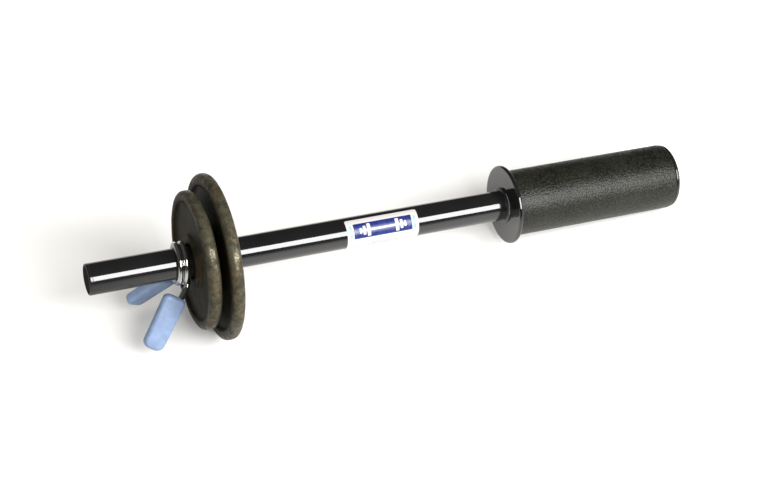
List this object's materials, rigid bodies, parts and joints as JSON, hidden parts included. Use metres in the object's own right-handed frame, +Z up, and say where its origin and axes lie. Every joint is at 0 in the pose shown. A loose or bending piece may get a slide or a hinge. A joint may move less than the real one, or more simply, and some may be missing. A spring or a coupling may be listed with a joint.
{
  "type": "plate-loaded leverage bar",
  "caption": "Plate-loaded leverage bar for grip, wrist and forearm training: thick textured grip, round guard, long shaft, cast plates and a squeeze spring collar.",
  "frame": {"origin": "centre of the end face at the shaft's free tip, on the bar's axis", "axes": "+X along the bar from the free tip towards the handle, +Z up with the collar's legs hanging down, +Y towards the back"},
  "size_m": [0.5165, 0.136, 0.136],
  "materials": {
    "gloss_black": "gloss",
    "weld_paint": "semi-gloss",
    "plug_plastic": "matt",
    "label_paper": "satin",
    "bare_steel": "plain",
    "grip_rubber": "textured matt",
    "cast_iron": "worn, lightly rusted",
    "chrome_wire": "polished",
    "vinyl_blue": "satin"
  },
  "bodies": {
    "bar": {"shaft_tube": "gloss_black", "shaft_tip_plug": "plug_plastic", "label_sticker": "label_paper", "stop_ring": "gloss_black", "stop_weld": "weld_paint", "guard_flange": "gloss_black", "guard_weld": "weld_paint", "handle_tube": "gloss_black", "handle_rear_ring": "bare_steel", "grip_sleeve": "grip_rubber", "handle_end_cap": "plug_plastic"},
    "collar": {"collar_coil": "chrome_wire"},
    "front_handle": {"front_leg_wire": "chrome_wire", "front_sleeve": "vinyl_blue"},
    "back_handle": {"back_leg_wire": "chrome_wire", "back_sleeve": "vinyl_blue"},
    "small_disc": {"small_plate": "cast_iron"},
    "large_disc": {"large_plate": "cast_iron"}
  },
  "joints": [
    {"name": "collar_slide", "type": "slide", "parent": "bar", "child": "collar", "axis": [-1, 0, 0], "range_m": [0, 0.118]},
    {"name": "front_squeeze", "type": "hinge", "parent": "collar", "child": "front_handle", "pos_m": [0.0756, 0, 0], "axis": [1, 0, 0], "range_deg": [0, 12], "stiffness_Nm_per_rad": 14, "deforming": ["collar_coil"]},
    {"name": "back_squeeze", "type": "hinge", "parent": "collar", "child": "back_handle", "pos_m": [0.0756, 0, 0], "axis": [1, 0, 0], "range_deg": [-12, 0], "deforming": ["collar_coil"]},
    {"name": "small_spin", "type": "hinge", "parent": "collar", "child": "small_disc", "pos_m": [0.08885, 0, 0], "axis": [1, 0, 0], "continuous": true},
    {"name": "large_spin", "type": "hinge", "parent": "small_disc", "child": "large_disc", "pos_m": [0.1043, 0, 0], "axis": [1, 0, 0], "continuous": true}
  ],
  "couplings": [
    {"joint": "back_squeeze", "follows": "front_squeeze", "ratio": -1}
  ]
}
